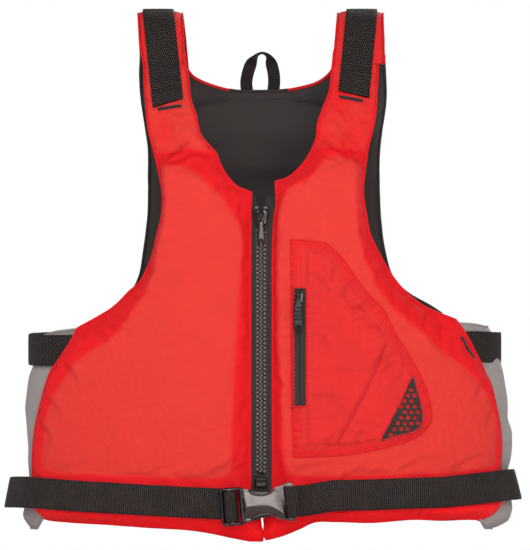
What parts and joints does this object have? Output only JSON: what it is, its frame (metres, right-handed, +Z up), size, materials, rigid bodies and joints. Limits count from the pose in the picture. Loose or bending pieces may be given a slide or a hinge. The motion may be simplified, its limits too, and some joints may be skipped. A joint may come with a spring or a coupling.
{
  "type": "life jacket",
  "caption": "Youth buoyancy vest with foam-filled nylon panels, a separating front zip, a zipped chest pocket, webbing shoulder straps and a buckled waist belt.",
  "frame": {"origin": "on the hem plane, under the middle of the vest", "axes": "+Z up from hem to shoulders, the zipped front faces -Y, the wearer's left is +X"},
  "size_m": [0.4222, 0.2191, 0.4391],
  "materials": {
    "shell_nylon": "matte woven nylon, red",
    "lining_nylon": "matte plain-weave nylon, black",
    "foam": "closed-cell flotation foam, matt, hidden inside the panels",
    "side_cloth": "matte coarse-weave nylon, grey",
    "webbing": "ribbed polyester webbing, black, slight sheen",
    "thread": "bonded thread, black",
    "zip_tape": "woven zip tape, charcoal",
    "zip_plastic": "moulded acetal, charcoal, satin",
    "pull_plastic": "moulded nylon, black, satin",
    "slider_metal": "black enamelled zinc, semi-gloss",
    "buckle_plastic": "moulded acetal, black, semi-gloss",
    "mesh_plastic": "knitted polyester mesh with hexagonal holes, black"
  },
  "bodies": {
    "back": {"back_shell": "shell_nylon", "back_foam": "foam", "back_lining": "lining_nylon", "side_panel_right": "side_cloth", "side_panel_left": "side_cloth", "shoulder_yoke_right": "shell_nylon", "shoulder_yoke_left": "shell_nylon", "shoulder_webbing_back_right": "webbing", "shoulder_webbing_back_left": "webbing", "belt_back": "webbing", "belt_keeper_right": "webbing", "belt_keeper_left": "webbing", "side_strap_right": "webbing", "side_strap_left": "webbing", "side_adjuster_right": "buckle_plastic", "side_adjuster_left": "buckle_plastic"},
    "grab_loop": {"grab_loop": "webbing"},
    "front_right": {"front_shell_right": "shell_nylon", "front_foam_right": "foam", "front_lining_right": "lining_nylon", "zip_tape_right": "zip_tape", "zip_teeth_right": "zip_plastic", "zip_pin": "zip_plastic", "zip_top_stop_right": "zip_plastic", "belt_front_right": "webbing", "bar_tacks_right": "thread", "shoulder_webbing_front_right": "webbing", "side_strap_end_right": "webbing"},
    "buckle_male": {"buckle_male": "buckle_plastic", "belt_tail": "webbing"},
    "buckle_arm_upper": {"buckle_arm_upper": "buckle_plastic"},
    "buckle_arm_lower": {"buckle_arm_lower": "buckle_plastic"},
    "front_left": {"front_shell_left": "shell_nylon", "front_foam_left": "foam", "front_lining_left": "lining_nylon", "zip_tape_left": "zip_tape", "zip_teeth_left": "zip_plastic", "zip_box": "zip_plastic", "zip_top_stop_left": "zip_plastic", "belt_front_left": "webbing", "bar_tacks_left": "thread", "shoulder_webbing_front_left": "webbing", "side_strap_end_left": "webbing", "buckle_female": "buckle_plastic", "pocket_panel": "shell_nylon", "pocket_mesh": "mesh_plastic", "pocket_zip_tapes": "zip_tape", "pocket_zip_coils": "zip_plastic", "pocket_zip_stops": "zip_plastic"},
    "zip_slider": {"zip_slider": "slider_metal"},
    "zip_pull": {"zip_pull": "pull_plastic"},
    "pocket_slider": {"pocket_slider": "slider_metal"},
    "pocket_pull": {"pocket_pull": "pull_plastic"}
  },
  "joints": [
    {"name": "front_right_fold", "type": "hinge", "parent": "back", "child": "front_right", "pos_m": [-0.206, 0, 0], "axis": [-0.2709, 0, -0.9626], "range_deg": [0, 60]},
    {"name": "front_left_fold", "type": "hinge", "parent": "back", "child": "front_left", "pos_m": [0.206, 0, 0], "axis": [-0.2709, 0, 0.9626], "range_deg": [0, 60]},
    {"name": "grab_loop_hinge", "type": "hinge", "parent": "back", "child": "grab_loop", "pos_m": [0, 0.066, 0.3736], "axis": [1, 0, 0], "range_deg": [-70, 70]},
    {"name": "zip_slide", "type": "slide", "parent": "front_left", "child": "zip_slider", "axis": [0, 0, -1], "range_m": [0, 0.198], "deforming": ["zip_teeth_right", "zip_teeth_left"]},
    {"name": "zip_pull_hinge", "type": "hinge", "parent": "zip_slider", "child": "zip_pull", "pos_m": [0, -0.09255, 0.26745], "axis": [-1, 0, 0], "range_deg": [0, 170]},
    {"name": "pocket_slide", "type": "slide", "parent": "front_left", "child": "pocket_slider", "axis": [0, 0, -1], "range_m": [0, 0.08]},
    {"name": "pocket_pull_hinge", "type": "hinge", "parent": "pocket_slider", "child": "pocket_pull", "pos_m": [0.0305, -0.10372, 0.2004], "axis": [-1, 0, 0], "range_deg": [0, 170]},
    {"name": "buckle_release", "type": "slide", "parent": "front_right", "child": "buckle_male", "axis": [-0.9962, 0, -0.0872], "range_m": [0, 0.045], "deforming": ["buckle_arm_upper", "buckle_arm_lower"]},
    {"name": "arm_upper_squeeze", "type": "hinge", "parent": "buckle_male", "child": "buckle_arm_upper", "pos_m": [-0.01421, -0.1049, 0.03849], "axis": [0, 1, 0], "range_deg": [0, 7]},
    {"name": "arm_lower_squeeze", "type": "hinge", "parent": "buckle_male", "child": "buckle_arm_lower", "pos_m": [-0.01269, -0.1049, 0.02116], "axis": [0, 1, 0], "range_deg": [-7, 0]}
  ]
}
